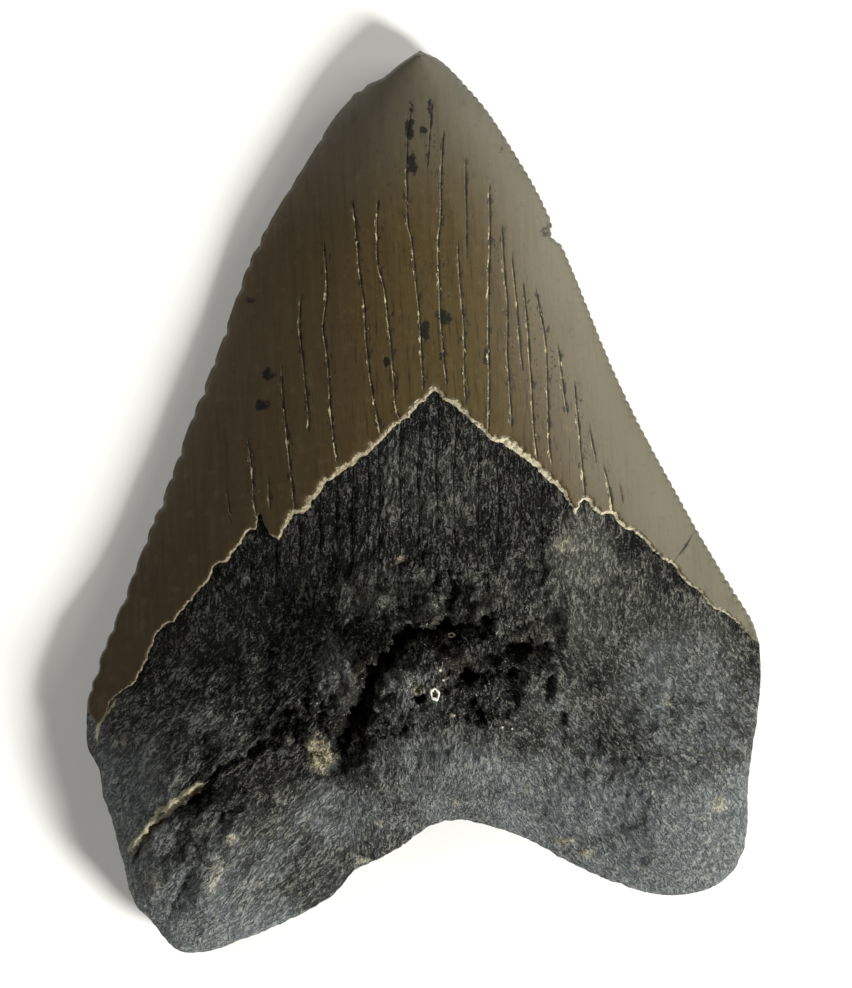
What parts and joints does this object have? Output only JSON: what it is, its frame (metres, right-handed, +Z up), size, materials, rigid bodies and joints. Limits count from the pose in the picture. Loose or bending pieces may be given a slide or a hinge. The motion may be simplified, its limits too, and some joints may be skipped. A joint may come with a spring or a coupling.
{
  "type": "megalodon tooth fossil",
  "caption": "Fossil shark tooth lying flat: broad triangular crown with serrated edges, V-shaped enamel edge and a pitted root with two lobes.",
  "frame": {"origin": "on the ground, under the middle of the tooth's bounding box", "axes": "+Y along the tooth, towards its tip; +Z up, out of the bulging inner face; +X across the tooth, towards its right edge as seen on that face"},
  "size_m": [0.0822, 0.11, 0.0207],
  "materials": {
    "root": "rough fossil dentine, blue-black",
    "enamel": "polished fossil enamel, olive brown"
  },
  "bodies": {
    "root": {"tooth": "root"}
  },
  "joints": []
}
